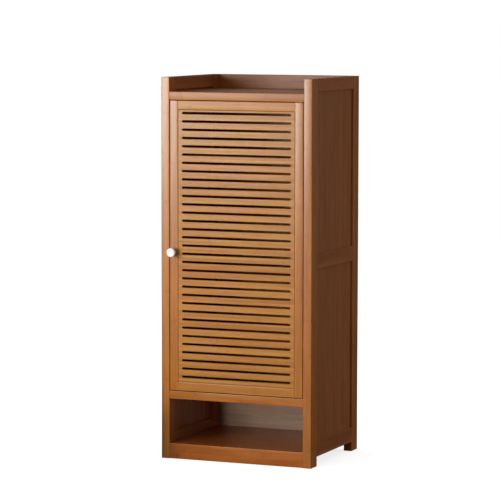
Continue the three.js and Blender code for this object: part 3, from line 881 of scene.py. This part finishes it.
def turned_piece(node, name, material, body, foot, top, hole=0):
    """Turns a disc or sleeve as large as a node, and puts it where the node is."""
    shape = turn(chamfered(width_of(node) / 2, width_of(node, UP), foot, top, hole))
    put(shape, Vector((*middle_of(node).xy, spans(node)[UP][0])))
    add_piece(shape, name, material, body, node)


nylon = hard_finish("nylon_glide", nylon_colour, roughness=0.5, mottling=0.15, grain=nylon_grain, tooth=0.2)
for place in ("left_front", "right_front", "left_back", "right_back"):
    node = f"glide_{place}"
    turned_piece(node, f"foot_{place}", nylon, "carcass", glide_chamfer, glide_chamfer / 2)


# -------- pivot pins
# Two zinc-plated steel pins pressed into the boards over and under the door, near its right edge,
# and a nylon ring on the lower one, which the door stands on.

pin_chamfer = 0.0008
ring_ease = 0.0003
steel_colour = (0.4, 0.4, 0.41)
turned_metal = {"metallic": 1, "mottling": 0.1, "grain": (120, 120, 6000), "tooth": 0.3}

steel = hard_finish("plated_steel", steel_colour, roughness=0.38, **turned_metal)
for place in ("top", "bottom"):
    node = f"{place}_pivot_pin"
    turned_piece(node, f"{place}_hinge_pin", steel, "carcass", pin_chamfer, pin_chamfer)
turned_piece(
    "thrust_washer", "door_thrust_ring", nylon, "carcass", ring_ease, ring_ease, pin_radius + play,
)


# -------- magnetic catch
# A brown moulded housing with two screw ears hangs under the top board and holds a magnet loosely,
# so that it can line itself up with the strike plate on the door. Two pan head screws hold it.

plastic_colour = (0.13, 0.06, 0.03)
magnet_colour = (0.2, 0.2, 0.205)
moulded_grain = (2500, 2500, 2500)
cast_grain = (900, 900, 900)
catch_ear = 0.003
catch_screw_inset = 0.0045
catch_screw_head = 0.0031
catch_screw_height = 0.0016
screw_shank = 0.0017
screw_length = 0.012
screw_point = 0.003
screw_tip = 0.4
pan_head = ((1, 0), (1, 0.45), (0.92, 0.85), (0.78, 1))
sunk_rim = 0.0001
recess_reach = 0.55
recess_arm = 0.16
recess_depth = 0.001


def dress(node, material):
    """Gives a CAD node a material."""
    for slot in nodes[node].material_slots:
        slot.material = material


def cross_recess(screw, top):
    """Sinks a cross into the flat top of a screw's head."""
    radius = reach_of(top.verts, TO_SIDE)[1]
    reach, arm = recess_reach * radius, recess_arm * radius
    square = mark_out(screw, top, {TO_SIDE: (-reach, reach), TO_BACK: (-reach, reach)})
    level = square.calc_center_bounds().z
    bmesh.ops.subdivide_edges(screw, edges=square.edges[:], cuts=2, use_grid_fill=True)
    for vert in screw.verts:
        if abs(vert.co.z - level) < same and max(abs(vert.co.x), abs(vert.co.y)) < reach + same:
            for axis in (TO_SIDE, TO_BACK):
                if abs(vert.co[axis]) < reach / 2:
                    vert.co[axis] = math.copysign(arm, vert.co[axis])
    cells = []
    for face in screw.faces:
        middle = face.calc_center_bounds()
        off_middle = sorted((abs(middle.x), abs(middle.y)))
        in_cross = abs(middle.z - level) < same and off_middle[0] < same and off_middle[1] < reach
        if in_cross and len(face.verts) == 4:
            cells.append(face)
    made = bmesh.ops.extrude_face_region(screw, geom=cells)
    bmesh.ops.delete(screw, geom=cells, context="FACES")
    bmesh.ops.translate(screw, verts=verts_in(made), vec=along(UP, -recess_depth))


def cross_head_screw(head, height, shank, length, sunk=False):
    """A screw that stands under the origin, with a pan head on top of it, or a sunk head level with it."""
    if sunk:
        cap = [(shank, -height), (head, -sunk_rim), (head - sunk_rim, 0)]
    else:
        cap = [(shank, 0), *((across * head, up * height) for across, up in pan_head)]
    screw = turn([(0, -length), (screw_tip * shank, -length), (shank, screw_point - length), *cap])
    rim = [edge for edge in screw.edges if edge.is_boundary]
    top = bmesh.ops.holes_fill(screw, edges=rim)["faces"][0]
    top.normal_update()
    cross_recess(screw, top)
    return screw


plastic = hard_finish(
    "brown_plastic", plastic_colour, roughness=0.45, mottling=0.2, grain=moulded_grain, tooth=0.4,
)
magnet = hard_finish(
    "nickelled_magnet", magnet_colour, roughness=0.35, metallic=1, mottling=0.2, grain=cast_grain, tooth=0.3,
)
dress("catch_housing", plastic)
dress("catch_magnet", magnet)

catch_x, catch_y, catch_z = spans("catch_housing")
for name, x in (("left", catch_x[0] + catch_screw_inset), ("right", catch_x[1] - catch_screw_inset)):
    screw = cross_head_screw(catch_screw_head, catch_screw_height, screw_shank, screw_length)
    put(screw, Vector((x, sum(catch_y) / 2, catch_z[1] - catch_ear)), UP, -1)
    add_piece(screw, f"catch_screw_{name}", steel, "carcass")


# -------- door frame
# Two full-height stiles, and two rails with stub tenons between them. The hinge stile is bored at
# both ends for its bushes, and the latch stile is bored through for the knob's screw.

door_edge = 0.001
door_end = 0.0006
door_groove = 0.007
groove_end = 0.0058
tongue_thickness = 0.006
knob_screw_hole = 0.0023
knob_band = 0.012
stile_steps = 5
stile_tones = ((0.535, 0.188, 0.032), (0.40, 0.125, 0.018))
door_rail_tones = ((0.585, 0.238, 0.06), (0.44, 0.163, 0.036))
door_rail_gloss = 0.4

stile_bamboo = bamboo("bamboo_stile", UP, stile_tones, gloss=upright_gloss)
door_rail_bamboo = bamboo("bamboo_door_rail", TO_SIDE, door_rail_tones, gloss=door_rail_gloss)

outer_x, (panel_front, panel_back), outer_z = spans("slotted_panel")
door_tongue = (panel_back - tongue_thickness, panel_back)
panel_groove = (panel_back - tongue_thickness - play, panel_back + play)
bush_radius = width_of("top_pivot_bush") / 2
bush_length = width_of("top_pivot_bush", UP)
knob_at = middle_of("knob")

for edge, panel_way in (("hinge", -1), ("latch", 1)):
    node = f"{edge}_stile"
    deep, high = spans(node)[TO_BACK:]
    stile = plank(spans(node), UP, door_edge)
    ease_ends(stile, UP, door_end)
    if edge == "latch":
        score(stile, UP, knob_at.z - knob_band)
        score(stile, UP, knob_at.z + knob_band)
    crown(stile, TO_BACK, -1, TO_SIDE, door_edge, stile_steps)
    if edge == "latch":
        third = (deep[1] - deep[0]) / 3
        ends = [bore(stile, TO_BACK, way, knob_at, knob_screw_hole, third) for way in (-1, 1)]
        rims = [rim for end in ends for rim in end.edges]
        bmesh.ops.delete(stile, geom=ends, context="FACES_ONLY")
        bmesh.ops.bridge_loops(stile, edges=rims)
        meeting = [face for face in stile.faces if looking(face, TO_SIDE, panel_way)]
        bmesh.ops.dissolve_faces(stile, faces=meeting, use_verts=True)
    else:
        for way in (-1, 1):
            bore(stile, UP, way, pin_at, bush_radius + play, bush_length + play)
    groove = {TO_BACK: panel_groove, UP: (high[0] + groove_end, high[1] - groove_end)}
    press(stile, TO_SIDE, panel_way, groove, door_groove)
    add_piece(stile, f"door_stile_{edge}", stile_bamboo, "door", node)

stiles = ("latch_stile", "hinge_stile")
for level, grooved in (("top", "low"), ("bottom", "high")):
    node = f"door_{level}_rail"
    rail = tenoned_rail(node, TO_SIDE, stiles, (grooved,), door_tongue, panel_groove, door_edge, door_groove)
    crown(rail, TO_BACK, -1, UP, door_edge)
    add_piece(rail, f"door_rail_{level}", door_rail_bamboo, "door", node)


# -------- slotted panel
# A bamboo board with thirty-three routed slots that air the shoes. Its slots have round ends and
# eased rims, and a thin tongue all round it stands loose in the door frame's groove.

slot_count = 33
slot_height = 0.007
slot_margin = 0.0135
slot_above = 0.007
slot_below = 0.013
slot_ease = 0.0008
slot_steps = 16
tongue_reach = 0.0067
weld = 1e-5
slat_strip = (0.0065, 0.011)
slat_contrast = 0.8
slat_tones = ((0.56, 0.235, 0.06), (0.42, 0.156, 0.032))

slat_bamboo = bamboo(
    "bamboo_slats", TO_SIDE, slat_tones, slat_strip, slat_contrast, rolled=True, gloss=board_gloss,
)

opening_x = (spans("latch_stile")[TO_SIDE][1], spans("hinge_stile")[TO_SIDE][0])
opening_z = (spans("door_bottom_rail")[UP][1], spans("door_top_rail")[UP][0])
field_x = (outer_x[0] + tongue_reach, outer_x[1] - tongue_reach)
field_z = (outer_z[0] + tongue_reach, outer_z[1] - tongue_reach)
slot_half = slot_height / 2
slot_ends = (opening_x[0] + slot_margin + slot_half, opening_x[1] - slot_margin - slot_half)
lowest_slot = opening_z[0] + slot_below + slot_half
highest_slot = opening_z[1] - slot_above - slot_half
slot_pitch = (highest_slot - lowest_slot) / (slot_count - 1)
tongue_front = door_tongue[0]

# One slot in its share of the board, then all of them, joined at their edges.
sheet = bmesh.new()
slot_radius = slot_half / math.cos(math.pi / slot_steps)
half_step = Matrix.Rotation(math.pi / slot_steps, 4, "Z")
ring = bmesh.ops.create_circle(sheet, segments=slot_steps, radius=slot_radius, matrix=half_step)["verts"]
for vert in ring:
    end = slot_ends[0] if vert.co.x < 0 else slot_ends[1]
    vert.co = (vert.co.x + end, panel_front, lowest_slot + vert.co.y)
rim = sheet.edges[:]
share = (lowest_slot - slot_pitch / 2, lowest_slot + slot_pitch / 2)
places = ((field_x[0], share[0]), (field_x[1], share[0]), (field_x[1], share[1]), (field_x[0], share[1]))
corners = [sheet.verts.new((x, panel_front, z)) for x, z in places]
border = [sheet.edges.new((corner, corners[number - 1])) for number, corner in enumerate(corners)]
bmesh.ops.bridge_loops(sheet, edges=rim + border)
one_slot = sheet.verts[:] + sheet.edges[:] + sheet.faces[:]
for number in range(1, slot_count):
    copy = bmesh.ops.duplicate(sheet, geom=one_slot)
    bmesh.ops.translate(sheet, verts=verts_in(copy), vec=along(UP, number * slot_pitch))
bmesh.ops.remove_doubles(sheet, verts=sheet.verts, dist=weld)
for vert in sheet.verts:
    if abs(vert.co.z - share[0]) < weld:
        vert.co.z = field_z[0]
    if vert.co.z > highest_slot + slot_height:
        vert.co.z = field_z[1]

# The sheet gets its thickness and its eased rims, and the tongue is drawn out of its edges.
made = bmesh.ops.extrude_face_region(sheet, geom=sheet.faces[:])
bmesh.ops.translate(sheet, verts=verts_in(made), vec=along(TO_BACK, panel_back - panel_front))
bmesh.ops.recalc_face_normals(sheet, faces=sheet.faces)


def on_outline(item):
    """Whether every corner of an edge or a face lies on the outline of the slotted field."""
    for vert in item.verts:
        gaps = [abs(vert.co.x - x) for x in field_x] + [abs(vert.co.z - z) for z in field_z]
        if min(gaps) >= weld:
            return False
    return True


rims = []
for edge in sheet.edges:
    flat = [abs(face.normal.y) > flat_from for face in edge.link_faces]
    in_front = edge.verts[0].co.y < tongue_front
    if flat.count(True) == 1 and (in_front or not on_outline(edge)):
        rims.append(edge)
round_off(sheet, rims, slot_ease, steps=2)
score(sheet, TO_BACK, tongue_front)
sheet.normal_update()
walls = [
    face for face in sheet.faces
    if abs(face.normal.y) < 1 - flat_from and face.calc_center_bounds().y > tongue_front and on_outline(face)
]
made = bmesh.ops.extrude_face_region(sheet, geom=walls)
bmesh.ops.delete(sheet, geom=walls, context="FACES")
for vert in verts_in(made):
    for axis, field, outer in ((TO_SIDE, field_x, outer_x), (UP, field_z, outer_z)):
        for near, far in zip(field, outer):
            if abs(vert.co[axis] - near) < weld:
                vert.co[axis] = far
add_piece(sheet, "door_slotted_board", slat_bamboo, "door", "slotted_panel")


# -------- bushes
# Two brass sleeves, turned and chamfered at their rims, are pressed into the ends of the hinge
# stile. The pins run in them.

brass_colour = (0.72, 0.53, 0.25)
bush_chamfer = 0.0005
running_play = 0.00008

brass = hard_finish("turned_brass", brass_colour, roughness=0.28, **turned_metal)
bush_hole = pin_radius + running_play
for place in ("top", "bottom"):
    node = f"{place}_pivot_bush"
    turned_piece(node, f"{place}_hinge_bush", brass, "door", bush_chamfer, bush_chamfer, bush_hole)


# -------- strike plate
# A thin plated steel plate on the back of the door's top rail, which the magnet holds. Two screws
# with sunk heads fix it, level with its face.

strike_hole_spacing = 0.024
strike_screw_head = 0.00185
strike_screw_height = 0.0012
strike_screw_shank = 0.0011

dress("strike_plate", steel)
strike_x, strike_y, strike_z = spans("strike_plate")
for name, way in (("left", -1), ("right", 1)):
    screw = cross_head_screw(
        strike_screw_head, strike_screw_height, strike_screw_shank, screw_length, sunk=True,
    )
    place = Vector((sum(strike_x) / 2 + way * strike_hole_spacing / 2, strike_y[1], sum(strike_z) / 2))
    put(screw, place, TO_BACK, 1)
    add_piece(screw, f"strike_screw_{name}", steel, "door")


# -------- knob
# A small white glazed knob with a flared foot and a shallow dish in its face. A screw comes
# through the latch stile from behind, and its pan head rests on the back of the door.

knob_foot = 0.0076
knob_foot_height = 0.0025
knob_neck = 0.0065
knob_rim = 0.0105
knob_dish = 0.0012
knob_belly = 0.006
knob_bore = 0.0023
knob_bore_depth = 0.0123
knob_screw_shank = 0.002
knob_screw_height = 0.0026
glaze_colour = (0.93, 0.93, 0.92)
glazed_grain = (300, 300, 300)


def bend(start, corner, end, steps=6):
    """Points along a curve from start to end that leans towards a corner, without its start."""
    points = []
    for step in range(1, steps + 1):
        t = step / steps
        first, second = Vector(start).lerp(corner, t), Vector(corner).lerp(end, t)
        points.append(tuple(first.lerp(second, t)))
    return points


reach = width_of("knob", TO_BACK)
head = width_of("knob") / 2
belly = reach - knob_belly
neck = belly - (head - knob_neck)
glaze = hard_finish(
    "white_glaze", glaze_colour, roughness=0.12, mottling=0.03, grain=glazed_grain, tooth=0.05,
)
knob = turn(
    [
        (0, knob_bore_depth),
        (knob_bore, knob_bore_depth),
        (knob_bore, 0),
        (knob_foot, 0),
        (knob_foot, knob_foot_height / 2),
        *bend((knob_foot, knob_foot_height / 2), (knob_neck, knob_foot_height), (knob_neck, neck)),
        *bend((knob_neck, neck), (head, neck), (head, belly)),
        *bend((head, belly), (head, reach), (knob_rim, reach)),
        *bend((knob_rim, reach), (knob_rim / 2, reach - knob_dish), (0, reach - knob_dish)),
    ],
    flat=square_on,
)
put(knob, Vector((knob_at.x, spans("knob")[TO_BACK][1], knob_at.z)), TO_BACK, -1)
add_piece(knob, "knob_turned", glaze, "door", "knob")

screw_end, screw_top = spans("knob_screw")[TO_BACK]
screw_seat = screw_top - knob_screw_height
screw = cross_head_screw(
    width_of("knob_screw") / 2, knob_screw_height, knob_screw_shank, screw_seat - screw_end,
)
put(screw, Vector((knob_at.x, screw_seat, knob_at.z)), TO_BACK, 1)
add_piece(screw, "knob_fixing_screw", steel, "door", "knob_screw")
